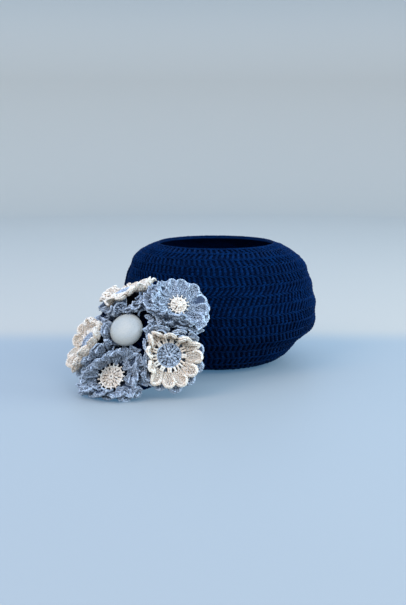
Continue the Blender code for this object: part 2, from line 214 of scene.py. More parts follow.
class Work:
    """Yarn and cloth gathered for one piece: points, quads with each corner's place on the yarn, triangles.

    Every point has two tints: its stain and painted shade, and the tone of its strand. On yarn the first is
    a random stain up to 1, painted deep shade from 1 up, and -1 where a strand gets no painted crevice shade;
    on cloth it is painted shade.
    """

    def __init__(self, seed=0):
        self.points, self.quads, self.places, self.triangles, self.tints = [], [], [], [], []
        self.count, self.rng = 0, np.random.default_rng(seed)

    def add(self, points, quads, places=None, triangles=(), tint=(0.0, 0.5)):
        """points (n, 3), quads (m, 4), places (m, 4, 2), triangles (k, 3); tints for all points or each."""
        self.points.append(points)
        self.quads.append(quads + self.count)
        self.places.append(np.zeros((len(quads), 4, 2)) if places is None else places)
        self.triangles.append(np.reshape(triangles, (-1, 3)).astype(int) + self.count)
        self.tints.append(np.broadcast_to(tint, (len(points), 2)))
        self.count += len(points)

    def take(self, other, lay):
        """Adds all of another's yarn, with its points laid in place by a function."""
        whole = [np.concatenate(part) for part in (other.points, other.quads, other.places, other.triangles)]
        self.add(lay(whole[0]), *whole[1:], np.concatenate(other.tints))

    def strands(self, paths, radius, sides, flat=1.0, twist=0.0, lobes=0.0, stain_and_shade=0.0):
        """Closed strands carried along paths (count, steps, 3), drawn flat with their heights last.

        A ring is its path's point + radius x (cos a x side + flat x sin a x top). Side is level and square
        to the path, and top is square to both. The radius swells as 1 + lobes x cos(2 (a - twist x share)).
        """
        count, steps = paths.shape[:2]
        radius = np.broadcast_to(radius, (count, steps))
        along = np.gradient(paths, axis=1)
        along /= np.linalg.norm(along, axis=2, keepdims=True)
        side = np.cross((0.0, 0.0, 1.0), along)
        side /= np.maximum(np.linalg.norm(side, axis=2, keepdims=True), 1e-6)
        top = np.cross(along, side)
        angle = np.arange(sides) / sides * TURN
        swell = 1 + lobes * np.cos(2 * (angle - twist * np.linspace(0, 1, steps)[:, None]))
        ring = np.cos(angle)[:, None] * side[:, :, None] + flat * np.sin(angle)[:, None] * top[:, :, None]
        rings = paths[:, :, None] + (radius[..., None] * swell)[..., None] * ring
        tips = paths[:, (0, -1)] + np.stack((-along[:, 0], along[:, -1]), 1) * radius[:, (0, -1), None] * 0.5
        points = np.concatenate((rings.reshape(count, -1, 3), tips), 1)
        first = (np.arange(count) * (steps * sides + 2))[:, None, None]
        step, turn, quads, caps = tube(steps, sides)
        quads, caps = (first + quads).reshape(-1, 4), first + caps
        lengths = np.linalg.norm(np.diff(paths, axis=1), axis=2).cumsum(1)
        lengths = np.concatenate((np.zeros((count, 1)), lengths), 1)
        low, high, left, right = lengths[:, step], lengths[:, step + 1], turn / sides, (turn + 1) / sides
        places = np.stack(np.broadcast_arrays(left, low, right, low, right, high, left, high), -1)
        tints = np.stack(np.broadcast_arrays(stain_and_shade, self.rng.uniform(0, 1, count)), 1)
        tints = np.repeat(tints, points.shape[1], 0)
        self.add(points.reshape(-1, 3), quads, places.reshape(-1, 4, 2), caps, tints)

    def slab(self, front, back, shut=(False, False), stain_and_shade=0.0):
        """Cloth between two skins (rows, columns, 3), closed along its first and last row.

        shut says if it is closed along its first and last column too, for all rows or between each two rows.
        The stain-and-shade tint is one value for both skins, or a pair of them; on these sheets it paints
        shade.
        """
        rows, columns = front.shape[:2]
        under = rows * columns
        grid = np.arange(under).reshape(rows, columns)
        quads = np.stack((grid[:-1, :-1], grid[:-1, 1:], grid[1:, 1:], grid[1:, :-1]), -1).reshape(-1, 4)
        left, right = (np.broadcast_to(side, rows - 1) for side in shut)
        walls = (
            (grid[:-1, 0][left], grid[1:, 0][left]),
            (grid[1:, -1][right], grid[:-1, -1][right]),
            (grid[0, 1:], grid[0, :-1]),
            (grid[-1, :-1], grid[-1, 1:]),
        )
        walls = [np.stack((here, near, near + under, here + under), 1) for here, near in walls]
        points = np.concatenate((front.reshape(-1, 3), back.reshape(-1, 3)))
        quads = np.concatenate((quads, quads[:, ::-1] + under, *walls))
        skins = stain_and_shade if isinstance(stain_and_shade, tuple) else (stain_and_shade, stain_and_shade)
        stain_and_shade = np.concatenate([np.broadcast_to(skin, (rows, columns)).ravel() for skin in skins])
        self.add(points, quads, tint=np.stack((stain_and_shade, 0.5 + 0 * stain_and_shade), 1))

    def mesh(self, name, weld=False):
        """The mesh in metres, with its places as the UV map "yarn" and its tints as "hollow" and "tone"."""
        quads, triangles = np.concatenate(self.quads), np.concatenate(self.triangles)
        points = np.concatenate(self.points) * MM
        mesh = bpy.data.meshes.new(name)
        mesh.vertices.add(len(points))
        mesh.vertices.foreach_set("co", points.ravel())
        mesh.loops.add(quads.size + triangles.size)
        mesh.loops.foreach_set("vertex_index", np.concatenate((quads.ravel(), triangles.ravel())))
        mesh.polygons.add(len(quads) + len(triangles))
        starts = np.concatenate((np.arange(len(quads)) * 4, quads.size + np.arange(len(triangles)) * 3))
        mesh.polygons.foreach_set("loop_start", starts)
        mesh.update(calc_edges=True)
        places = np.concatenate((np.concatenate(self.places).ravel(), np.zeros(triangles.size * 2)))
        mesh.uv_layers.new(name="yarn").data.foreach_set("uv", places)
        for tint, values in zip(("stain_and_shade", "tone"), np.concatenate(self.tints).T):
            tints = mesh.attributes.new(tint, "FLOAT", "POINT").data
            tints.foreach_set("value", np.ascontiguousarray(values))
        mesh.polygons.foreach_set("use_smooth", np.ones(len(mesh.polygons), bool))
        if weld:
            shape = bmesh.new()
            shape.from_mesh(mesh)
            bmesh.ops.remove_doubles(shape, verts=shape.verts, dist=0.001 * MM)
            shape.to_mesh(mesh)
            shape.free()
        return mesh

    def piece(self, name, material, slot, replaces=(), weld=False):
        """The mesh as an object that rides on the one body, in place of the nodes that it replaces. The slot
        is not used.
        """
        item = bpy.data.objects.new(name, self.mesh(name, weld))
        item.data.materials.append(material)
        bpy.context.collection.objects.link(item)
        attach(item, "root")
        if replaces:
            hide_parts(*replaces)
        return item


# ---- materials


class Finish:
    """A material and its nodes. A node's inputs are linked or set in order, and None leaves one alone."""

    def __init__(self, name, roughness, sheen=0.0, specular=0.5):
        self.material = bpy.data.materials.new(name)
        self.material.use_nodes = True
        self.tree = self.material.node_tree
        self.shader = self.tree.nodes["Principled BSDF"].inputs
        self.shader["Roughness"].default_value = roughness
        self.shader["Sheen Weight"].default_value = sheen
        self.shader["Specular IOR Level"].default_value = specular
        self.here = self.node("TexCoord").outputs["Object"]

    def fill(self, sockets, values):
        """Links or sets each socket."""
        for socket, value in zip(sockets, values):
            if isinstance(value, bpy.types.NodeSocket):
                self.tree.links.new(value, socket)
            elif value is not None:
                socket.default_value = value

    def node(self, kind, *values, **settings):
        """A node with its settings and inputs."""
        made = self.tree.nodes.new("ShaderNode" + kind)
        for key, value in settings.items():
            setattr(made, key, value)
        self.fill(made.inputs, values)
        return made

    def maths(self, operation, *values, **settings):
        """The result of a Math node."""
        return self.node("Math", *values, operation=operation, **settings).outputs[0]

    def noise(self, scale, detail, roughness):
        """Noise on Object coordinates."""
        return self.node("TexNoise", self.here, None, scale, detail, roughness).outputs[0]

    def spread(self, value, low, high, to_low=0.0, to_high=1.0, **settings):
        """A value's range from low to high, spread out from to_low to to_high."""
        return self.node("MapRange", value, low, high, to_low, to_high, **settings).outputs[0]

    def tint(self, name):
        """One of the piece's own attributes."""
        return self.node("Attribute", attribute_name=name).outputs["Fac"]

    def mix(self, share, *colours):
        """A share of the way from one colour to the other."""
        made = self.node("Mix", data_type="RGBA")
        colours = [value if isinstance(value, bpy.types.NodeSocket) else (*value, 1.0) for value in colours]
        self.fill((made.inputs[0], made.inputs[6], made.inputs[7]), (share, *colours))
        return made.outputs[2]

    def done(self, colour, height=None, strength=0.0, distance=0.0):
        """The material, with its colour and, where a height is given, a bump."""
        self.fill((self.shader["Base Color"],), (colour,))
        if height is not None:
            bump = self.node("Bump", strength, distance)
            self.fill((bump.inputs["Height"], self.shader["Normal"]), (height, bump.outputs[0]))
        return self.material


def yarn_finish(name, dark, light, stain_and_shade, painted_crevice_shade, sheen=0.2, specular=0.4):
    """Plied cotton: slanting plies round the strand, loose fibres, and a tone that differs by strand.

    The plies are sin(2 pi (2 x round + along / 1.6)), and the colour is darker in their grooves: painted
    shade.
    Shade is painted between strands too: a strand's crest, where sin(2 pi round) is near 1, keeps its colour,
    and its flanks, where it meets its neighbours, go towards the painted crevice shade. A first tint of -1
    leaves a strand without that painted shade all round, as on a rim. A first tint up to 1 stains a strand at
    random towards the stain colour, and from 1 to 1.5 it fades into painted deep shade, 0.22 of the dark
    colour.
    """
    make = Finish(name, 0.55, sheen, specular)
    around, along, _ = make.node("SeparateXYZ", make.node("UVMap", uv_map="yarn").outputs[0]).outputs
    plies = make.maths("ADD", make.maths("MULTIPLY", around, 2.0), make.maths("MULTIPLY", along, 1 / 1.6))
    plies = make.maths("MULTIPLY_ADD", make.maths("SINE", make.maths("MULTIPLY", plies, TURN)), 0.5, 0.5)
    fibres, drift = make.noise(2600.0, 3.0, 0.6), make.noise(90.0, 2.0, 0.5)
    # Painted shade: the colour is darker in the grooves between the plies, which also make the bump.
    tone = make.maths("MULTIPLY", plies, 0.45)
    for value, weight in ((fibres, 0.6), (make.tint("tone"), 0.85), (drift, 0.5)):
        tone = make.maths("MULTIPLY_ADD", value, weight, tone)
    colour = make.mix(make.spread(tone, 0.60, 1.75), dark, light)
    stain_and_shade_mask = make.tint("stain_and_shade")
    stain = make.maths("MULTIPLY", stain_and_shade_mask, make.spread(drift, 0.42, 0.62, 0.1, 0.9), use_clamp=True)
    colour = make.mix(stain, colour, stain_and_shade)
    # Painted shade: a strand's flanks go towards the crevice shade, where its neighbours would shade it;
    # rims, at -1, keep their colour.
    crest = make.maths("SINE", make.maths("MULTIPLY", around, TURN))
    crest = make.spread(crest, -0.45, 0.70, interpolation_type="SMOOTHSTEP")
    crest = make.maths("MAXIMUM", crest, make.maths("MULTIPLY", stain_and_shade_mask, -1.0))
    colour = make.mix(crest, painted_crevice_shade, colour)
    # Painted deep shade: a first tint from 1 to 1.5 takes the colour to 0.22 of the dark colour, on the cloth
    # of fans and the dome under a centre.
    colour = make.mix(make.spread(stain_and_shade_mask, 1.0, 1.5), colour, [0.22 * value for value in dark])
    return make.done(colour, make.maths("MULTIPLY_ADD", fibres, 0.6, plies), 0.55, 0.00022)


def cloth_finish(name, dark, light):
    """The dense cloth behind the yarn: small cells, like crossing threads, a drifting tone, and painted
    shade.
    """
    make = Finish(name, 0.85, specular=0.03)
    threads = make.node("TexVoronoi", make.here, None, 900.0).outputs[0]
    tone = make.maths("MULTIPLY_ADD", threads, 0.6, make.noise(120.0, 3.0, 0.6))
    colour = make.mix(make.spread(tone, 0.4, 1.1), dark, light)
    # Painted shade: the cloth goes towards a quarter of its dark colour where its stain-and-shade tint is
    # high, in the gaps behind the stitches and round the flowers' middles.
    colour = make.mix(make.tint("stain_and_shade"), colour, [0.25 * value for value in dark])
    return make.done(colour, threads, 0.6, 0.0003)


def glaze_finish():
    """White glaze: a faint warm and cool drift, and a smooth, barely uneven surface."""
    make = Finish("white_glaze", 0.30)
    drift, specks = make.noise(60.0, 2.0, 0.5), make.noise(900.0, 2.0, 0.7)
    tone = make.spread(make.maths("MULTIPLY_ADD", specks, 0.25, drift), 0.4, 0.9)
    make.fill((make.shader["Roughness"],), (make.spread(specks, 0.3, 0.7, 0.24, 0.34),))
    return make.done(make.mix(tone, (0.44, 0.41, 0.35), (0.50, 0.46, 0.38)), drift, 0.25, 0.0004)


YARNS = {
    name: yarn_finish(f"{name}_yarn", *colours)
    for name, *colours in (
        # name, dark, light, stain colour, painted crevice shade, and where they differ sheen and specular
        (
            "navy", (0.0002, 0.0066, 0.028), (0.0004, 0.0170, 0.068),
            (0.0008, 0.0040, 0.017), (0.0002, 0.0028, 0.012), 0.0, 0.02,
        ),
        ("grey", (0.115, 0.134, 0.165), (0.690, 0.720, 0.760), (0.170, 0.185, 0.220), (0.035, 0.045, 0.070)),
        ("cream", (0.850, 0.620, 0.430), (1.000, 0.875, 0.715), (0.620, 0.440, 0.300), (0.420, 0.310, 0.210)),
    )
}
CLOTHS = {
    "navy": cloth_finish("navy_cloth", (0.0004, 0.0070, 0.030), (0.0008, 0.0190, 0.078)),
    "grey": cloth_finish("grey_cloth", (0.022, 0.028, 0.042), (0.080, 0.100, 0.140)),
    "cream": cloth_finish("cream_cloth", (0.380, 0.290, 0.200), (0.640, 0.520, 0.400)),
}
GLAZE = glaze_finish()


# ---- the pot cover


def smooth_outline(outline, steps=8):
    """A Catmull-Rom curve through the outline's points."""
    points = np.array(outline)
    ends = np.vstack((2 * points[0] - points[1], points, 2 * points[-1] - points[-2]))
    t = np.linspace(0, 1, steps, endpoint=False)[:, None]
    spans = []
    for a, b, c, d in zip(ends, ends[1:], ends[2:], ends[3:]):
        bend = (2 * a - 5 * b + 4 * c - d) * t**2 + (3 * b - a - 3 * c + d) * t**3
        spans.append(0.5 * (2 * b + (c - a) * t + bend))
    return np.vstack(spans + [points[-1:]])


class Curve:
    """An outline of (radius, height) points, and how far along it each of them lies."""

    def __init__(self, points):
        self.points = points
        self.lengths = np.concatenate(((0,), np.linalg.norm(np.diff(points, axis=0), axis=1).cumsum()))
        self.length = self.lengths[-1]
        self.slopes = np.gradient(points, self.lengths, axis=0)

    def at(self, along, values=None):
        """Radius and height at a length along it, or other values that are known at its points."""
        values = self.points if values is None else values
        return np.array([np.interp(along, self.lengths, row) for row in values.T])


COVER = Curve(smooth_outline(COVER_OUTLINE))


def cover_radius(height):
    """The outside radius at a height."""
    return np.interp(height, COVER.points[:, 1], COVER.points[:, 0])


def cover_slope(height):
    """How fast the outside radius grows with height."""
    low, high = np.maximum(height - 1, 0), np.minimum(height + 1, COVER_HEIGHT)
    return (cover_radius(high) - cover_radius(low)) / (high - low)


def smooth_step(value, low, high):
    """0 up to low and 1 from high, and share ** 2 x (3 - 2 x share) between them."""
    share = np.clip((value - low) / (high - low), 0, 1)
    return share * share * (3 - 2 * share)


def slit_half_angle(side, height):
    """Half the angle that one side's slits open at a height: half width x sin(pi x share) ** 0.7 / radius."""
    half = np.zeros_like(height)
    for low, high, half_width in (row[:3] for row in rows_of(SLITS, side)):
        along = np.clip((height - low) / (high - low), 0, 1)
        half += half_width * np.abs(arch(along)) ** 0.7 / cover_radius(height)
    return half


def lips(side, half, angle_off, height):
    """How far the cloth beside one side's slits stands out: a bell in height and in angle."""
    stand = np.zeros_like(height)
    for low, high, _, front_lip, back_lip, lip_height, lip_spread in rows_of(SLITS, side):
        swell = np.exp(-(((height - lip_height) / lip_spread) ** 2))
        inside = smooth_step(height, low - 1, low + 5) * (1 - smooth_step(height, high - 5, high + 1))
        stand += (front_lip, back_lip)[half] * swell * inside * np.exp(-((angle_off / LIP_REACH) ** 2))
    return stand


def cover_point(half, share, along, off):
    """A point of the pot cover: its outline carried round, with lips at the slits, a wave and a belly.

    The share runs round one half, against the clock from above: the front half, 0, from handle to spout and
    the back half, 1, from spout to handle. along is millimetres up from the hem, and off is millimetres off
    the outside surface.
    """
    share, along, off = np.broadcast_arrays(share, along, off)
    radius, height = COVER.at(along)
    slope_out, slope_up = COVER.at(along, COVER.slopes)
    size = np.hypot(slope_out, slope_up)
    start = slit_half_angle(SPOUT_SIDE, height)
    end = math.pi - slit_half_angle(HANDLE_SIDE, height)
    angle = start + (end - start) * (share if half else 1 - share)
    turn = angle if half else -angle
    stand = lips(SPOUT_SIDE, half, angle, height) + lips(HANDLE_SIDE, half, math.pi - angle, height)
    wave = np.sin(5 * turn + 40 * height / COVER_HEIGHT) * np.sin(math.pi * height / COVER_HEIGHT)
    belly = smooth_step(height, BELLY_LOW, BELLY_LOW + 12)
    belly = belly * (1 - smooth_step(height, BELLY_HIGH - 18, BELLY_HIGH))
    radius = radius + stand + COVER_WAVE * wave + BELLY_SHIFT * np.cos(angle) * belly + off * slope_up / size
    return polar(radius, turn, height - off * slope_out / size)


def stitch_row(count, low, height, lean, rng):
    """One row of tall stitches, drawn flat: each is three slanting wraps one above another, and a ridge of
    slanting loops runs over them.

    Wrap k crosses from x = -1.25 to 1.25 as it rises by 0.36 of the height from (0.02 + 0.29 k) of it, and
    bows out as half a sine.
    """
    row = Work(rng.integers(1 << 30))
    side = np.sign(lean)
    middle = (np.arange(count)[:, None] + 0.5) * STITCH_PITCH + rng.normal(0, 0.12, (count, 1))
    share = np.linspace(0, 1, 4)
    for wrap in range(3):
        x = middle + 1.25 * side * (2 * share - 1) + 0.35 * lean * (wrap - 1)
        y = low + height * (0.02 + 0.29 * wrap + 0.36 * share) + rng.normal(0, 0.10, (count, 1))
        out = -1.05 + 0.65 * arch(share) + rng.normal(0, 0.10, (count, 1))
        row.strands(spot(x, y, out), WRAP_WIDTHS, 4, 0.66)
    share = np.linspace(-1, 1, 4)
    x = middle + 0.62 * STITCH_PITCH * share
    y = low + height * 0.97 + 0.80 * share * side + rng.normal(0, 0.12, (count, 1))
    out = -0.50 + 0.35 * bow(share) + rng.normal(0, 0.08, (count, 1))
    row.strands(spot(x, y, out), RIDGE_WIDTHS, 4, 0.95)
    return row


def edge_loops(length, rng):
    """A line of slanting loops from x = 0 to length, drawn flat, that wraps an edge along y = 0."""
    row = Work()
    count = round(length / EDGE_PITCH)
    pitch = length / count
    middle = (np.arange(count)[:, None] + 0.5) * pitch + rng.normal(0, 0.1, (count, 1))
    share = np.linspace(-1, 1, 4)
    for y, out in ((0.1, -0.5), (-0.1, -1.6)):
        path = spot(middle + 0.7 * pitch * share, y + 0.35 * share, out + 0.3 * np.cos(1.6 * share))
        row.strands(path, EDGE_WIDTHS, 5)
    return row


def crochet(curve, turn, lay, rng, hem=0.0):
    """Rows of stitches up a round cloth, and loops along its two edges.

    turn is the angle that it goes round, lay puts (share round, millimetres along, off) on its surface, and
    hem is how far in the lower edge's loops lie.
    """
    work = Work()
    rows = round(curve.length / ROW_HEIGHT)
    height = curve.length / rows
    for row in range(rows):
        radius = float(curve.at((row + 0.5) * height)[0])
        count = max(round(turn * radius / STITCH_PITCH), 5)
        line = stitch_row(count, row * height, height, POST_LEAN if row % 2 else -POST_LEAN, rng)
        work.take(line, lambda p: lay(*(p / (count * STITCH_PITCH, 1, 1)).T))
    for up, start in ((0.0, hem), (curve.length, curve.length)):
        width = turn * curve.at(up)[0]
        work.take(edge_loops(width, rng), lambda p: lay(*(p / (width, 1, 1) + (0, start, 0)).T))
    return work


def pot_cover():
    """The cloth behind the stitches is one welded sheet of both halves; the stitches are a piece a half."""
    along = np.linspace(0, COVER.length, 73)[:, None]
    share = np.linspace(0, 1, 61)
    height = COVER.at(along[:, 0])[1]
    is_open = [slit_half_angle(side, height) > 1e-6 for side in (SPOUT_SIDE, HANDLE_SIDE)]
    spout, handle = (rows[1:] | rows[:-1] for rows in is_open)
    row_height = COVER.length / round(COVER.length / ROW_HEIGHT)
    rib = RIB * np.cos(TURN * along / row_height) * np.cos(TURN * share * RIBS)
    rib = np.clip(along / 4, 0, 1) * np.clip((COVER.length - along) / 4, 0, 1) * rib
    rib = rib * np.clip(share * 20, 0, 1) * np.clip((1 - share) * 20, 0, 1)
    cloth = Work()
    for half, shut in ((0, (handle, spout)), (1, (spout, handle))):
        outer, inner = (cover_point(half, share, along, off) for off in (CLOTH_FRONT, COVER_CLOTH_BACK + rib))
        # Painted shade: the outer skin, seen in the gaps between the stitches, gets a tint of 0.7; the inside
        # skin gets none.
        cloth.slab(outer, inner, shut, stain_and_shade=(0.7, 0.0))
    sheet = cloth.piece("pot_cover_cloth", CLOTHS["navy"], "navy_cotton", ("pot_cover",), weld=True)
    for half, name in enumerate(("front", "back")):
        rng = np.random.default_rng(COVER_SEED + half)
        work = crochet(COVER, math.pi, lambda *p: cover_point(half, *p), rng, HEM_INSET)
        for side, low, high in (row[:3] for row in SLITS):
            low, high = np.interp((low + 0.5, high - 0.5), COVER.points[:, 1], COVER.lengths)
            edge = float((side == SPOUT_SIDE) != (half == 1))
            work.take(
                edge_loops(high - low, rng),
                lambda p: cover_point(half, edge - p[:, 1] / (math.pi * MEAN_RADIUS), low + p[:, 0], p[:, 2]),
            )
        work.piece(f"pot_cover_{name}_stitches", YARNS["navy"], "navy_cotton")


# ---- the lid cover and knob


LID_AXES = Matrix.Rotation(math.radians(-LID_TURN), 3, "Z")
LID_AXES = np.array(LID_AXES @ Matrix.Rotation(math.radians(90 - LID_LEAN), 3, "X"))


def from_lid(points):
    """From the lid's own frame, whose Z is the cap's axis, to the frame of the whole object."""
    return points @ LID_AXES.T + LID_CENTRE


def cap_outline():
    """The cap's outside, rim first, as (radius, height): a quarter of a superellipse, down to the hole."""
    turn = np.linspace(math.pi / 2, 0, 400)
    radius = LID_RADIUS * np.sin(turn) ** (2 / LID_FULLNESS)
    height = LID_HEIGHT * np.cos(turn) ** (2 / LID_FULLNESS)
    return np.stack((radius, height), 1)[radius > LID_HOLE]


CAP = Curve(cap_outline())


def cap_point(share, along, off):
    """A point of the cap: share is round it, along is millimetres up from its rim, off stands off it."""
    share, along, off = np.broadcast_arrays(share, along, off)
    radius, height = CAP.at(along)
    ahead, back = np.clip(along + 0.5, 0.5, CAP.length), np.clip(along - 0.5, 0, CAP.length - 0.5)
    slope_out, slope_up = CAP.at(ahead) - CAP.at(back)
    size = np.hypot(slope_out, slope_up)
    return from_lid(polar(radius + off * slope_up / size, TURN * share, height - off * slope_out / size))


def lid_cover():
    """The cap: a thin cloth with rows of stitches on it."""
    along = np.linspace(0, CAP.length, 25)[:, None]
    share = np.linspace(0, 1, 73)
    rib = RIB * np.cos(TURN * along / ROW_HEIGHT) * np.cos(TURN * share * RIBS) * np.clip(along / 4, 0, 1)
    cloth = Work()
    front, back = (cap_point(share, along, off) for off in (CLOTH_FRONT, CAP_CLOTH_BACK + rib))
    # Painted shade: the outer skin, seen in the gaps between the stitches, gets a tint of 0.7; the inside
    # skin gets none.
    cloth.slab(front, back, stain_and_shade=(0.7, 0.0))
    sheet = cloth.piece("lid_cover_cloth", CLOTHS["navy"], "navy_cotton", ("lid_cover",), weld=True)
    work = crochet(CAP, TURN, cap_point, np.random.default_rng(CAP_SEED))
    stitches = work.piece("lid_cover_stitches", YARNS["navy"], "navy_cotton")


def knob():
    """A turned knob: a smooth outline carried round the lid's axis, closed at both ends of the axis."""
    curve = smooth_outline(KNOB_OUTLINE, 6)
    radius, height = np.maximum(curve[:, :1], 0), curve[:, 1:] + KNOB_UNDERSIDE
    rings = polar(radius[1:-1], np.arange(KNOB_SIDES) / KNOB_SIDES * TURN, height[1:-1])
    points = np.concatenate((rings.reshape(-1, 3), ((0, 0, height[0, 0]), (0, 0, height[-1, 0]))))
    _, _, quads, caps = tube(len(rings), KNOB_SIDES)
    work = Work()
    work.add(from_lid(points), quads, triangles=caps)
    work.piece("knob", GLAZE, "white_glaze", ("lid_knob",))


# ---- how the flowers lie


def front_frame(number):
    """A flower's centre and its axes in the lid's frame: outward, round and out of its face."""
    _, around, out, height, lean_out, lean_round = FLOWERS[number][:6]
    angle = math.radians(around)
    outward = Vector((math.cos(angle), math.sin(angle), 0))
    sideways = Vector((-math.sin(angle), math.cos(angle), 0))
    lean = Matrix.Rotation(math.radians(lean_out), 3, sideways)
    lean = lean @ Matrix.Rotation(math.radians(-lean_round), 3, outward)
    axes = [np.array(lean @ axis) for axis in (outward, sideways, Vector((0, 0, 1)))]
    return np.array(outward) * out + (0, 0, height), *axes


def back_frame(number):
    """The same for the back round, turned about the outer edge that both share so that it lies flatter."""
    centre, outward, sideways, normal = front_frame(number)
    *_, tip, reach, _ = FLOWERS[number]
    edge = centre + reach * outward + (FRONT_LEVEL - LAYER_STEP) * normal
    turn = np.array(Matrix.Rotation(-math.radians(tip), 3, Vector(sideways)))
    return edge - reach * (turn @ outward), turn @ outward, sideways, turn @ normal


def push(points, distance, direction, margin, softness, lift=0.0):
    """Moves points nearer than margin along direction, and lifts them by a share of what they moved.

    With over = margin + softness - distance, the move is over ** 2 / (4 softness) for the first two
    softnesses, and over - softness from there.
    """
    over = np.clip(margin + softness - distance, 0, None)
    ease = np.where(over < 2 * softness, over**2 / (4 * softness), over - softness)
    return points + ease[:, None] * (direction + lift)


def settle(points, number, margin, softness):
    """Keeps a flower's layer on its side of its neighbours, and off the knob, cap, pot cover and table."""
    centre, _, _, normal = front_frame(number)
    lift = FOLD_LIFT * normal
    cap = np.array((LID_RADIUS, LID_RADIUS, LID_HEIGHT))
    for _ in range(3):
        for first, second, share, plane_turn in NEIGHBOURS:
            if number in (first, second):
                other = second if number == first else first
                part = share if number == first else 1 - share
                away = centre - front_frame(other)[0]
                reach = np.linalg.norm(away)
                facing = np.array(Matrix.Rotation(math.radians(plane_turn), 3, "Z") @ Vector(away / reach))
                clear = (points - centre) @ facing + part * reach
                points = push(points, clear, facing, margin, softness, lift)
        radial = points * (1, 1, 0)
        size = np.linalg.norm(radial, axis=1)
        points = push(points, size - KNOB_CLEARANCE, radial / size[:, None], margin, softness, lift)
        scaled = points / cap
        level = np.sum(np.abs(scaled) ** LID_FULLNESS, 1) ** (1 / LID_FULLNESS)
        slope = np.sign(scaled) * np.abs(scaled) ** (LID_FULLNESS - 1) / cap
        slope = slope * (level ** (1 - LID_FULLNESS))[:, None]
        steep = np.linalg.norm(slope, axis=1)
        points = push(points, (level - 1) / steep, slope / steep[:, None], margin + APART, TOUCH_SOFTNESS)
        world = from_lid(points)
        radius = np.linalg.norm(world[:, :2], axis=1)
        height = np.clip(world[:, 2], 0, COVER_HEIGHT)
        slope = cover_slope(height)
        lean = np.sqrt(1 + slope**2)
        clear = (radius - cover_radius(height)) / lean - COVER_CLEARANCE
        away = np.stack((world[:, 0] / radius / lean, world[:, 1] / radius / lean, -slope / lean), 1)
        points = push(points, clear, away @ LID_AXES, margin, TOUCH_SOFTNESS)
        points = push(points, from_lid(points)[:, 2], LID_AXES[2], margin, TOUCH_SOFTNESS)
    return points


def curl_of(number, turn):
    """How steeply, in radians, a petal at an angle stands up where its flower is curled: a half cosine over
    the curled sector, uneven by a sine with five waves round the flower. Only the front round curls up, and
    both rounds curl down."""
    curl = np.zeros_like(turn)
    for middle, half, degrees, uneven in rows_of(CURLS, number):
        away = (turn - math.radians(middle) + math.pi) % TURN - math.pi
        share = np.clip(np.abs(away) / math.radians(half), 0, 1)
        curl += math.radians(degrees) * bow(share) * (1 + uneven * np.sin(5.0 * away))
    return curl


def layer_place(flat, number, front):
    """Where flat places (outward, round) of a layer come to lie: its plane, rising as share ** 1.6, settled.

    Between two petals the layer keeps further off its neighbours, so that each petal bulges where it folds.
    """
    *_, reach, _ = FLOWERS[number]
    margin = 0.5 * (PETAL_CLOTH + APART)
    if front:
        centre, outward, sideways, normal = front_frame(number)
        start, rise, level, phase = CENTRE_RADIUS + APART, FRONT_RISE, FRONT_LEVEL, 0.0
        margin, bulge, softness = margin + LAYER_STEP, FRONT_BULGE, 2.0 * FOLD_SOFTNESS
    else:
        centre, outward, sideways, normal = back_frame(number)
        reach, start, rise, level, phase = reach + BACK_LONGER, BACK_START, BACK_RISE, 0.0, BACK_PHASE
        bulge, softness = BACK_BULGE, FOLD_SOFTNESS
    radius, turn = np.hypot(flat[:, 0], flat[:, 1]), np.arctan2(flat[:, 1], flat[:, 0])
    along = np.clip((radius - start) / (reach - start), 0, 1.3)
    height = level + rise * along**1.6
    beyond = np.clip(radius - CENTRE_RADIUS - APART, 0, None)
    curl = curl_of(number, turn) * smooth_step(beyond, 0, 5)
    curl = curl if front else np.minimum(curl, 0)
    height, radius = height + beyond * np.sin(curl), radius - beyond * (1 - np.cos(curl))
    x, y = radius * np.cos(turn), radius * np.sin(turn)
    plane = centre + x[:, None] * outward + y[:, None] * sideways + height[:, None] * normal
    between = 0.5 - 0.5 * np.cos(PETALS * (turn - phase))
    return settle(plane, number, margin + bulge * between * np.clip(along, 0, 1), softness)


def on_table(points):
    """Flattens what would reach below the table's top."""
    return np.maximum(points, (-np.inf, -np.inf, TABLE_CLEARANCE))


def lay_on(number, front):
    """A function that lays a flat drawing on a layer: the place below each point, plus the point's height
    along the layer's normal, the cross product of two small steps on it."""

    def lay(points):
        here = layer_place(points, number, front)
        right = layer_place(points + (0.25, 0, 0), number, front) - here
        ahead = layer_place(points + (0, 0.25, 0), number, front) - here
        normal = np.cross(right, ahead)
        normal /= np.linalg.norm(normal, axis=1, keepdims=True)
        return on_table(from_lid(here + points[:, 2:] * normal))

    return lay


def plant_on(number, front):
    """A function that plants a flat drawing rigidly on a layer, by the layer's axes at the drawing's foot."""

    def plant(points, foot):
        steps = np.array(foot) + ((0, 0, 0), (0.5, 0, 0), (0, 0.5, 0))
        here, right, ahead = layer_place(steps, number, front)
        right = (right - here) / np.linalg.norm(right - here)
        normal = np.cross(right, ahead - here)
        normal /= np.linalg.norm(normal)
        return on_table(from_lid(here + (points - foot) @ np.array((right, np.cross(normal, right), normal))))

    return plant


# ---- the flowers


def turned(paths, angle):
    """Flat paths turned about the flower's middle."""
    cos, sin = math.cos(angle), math.sin(angle)
    return paths @ np.array(((cos, sin, 0), (-sin, cos, 0), (0, 0, 1)))


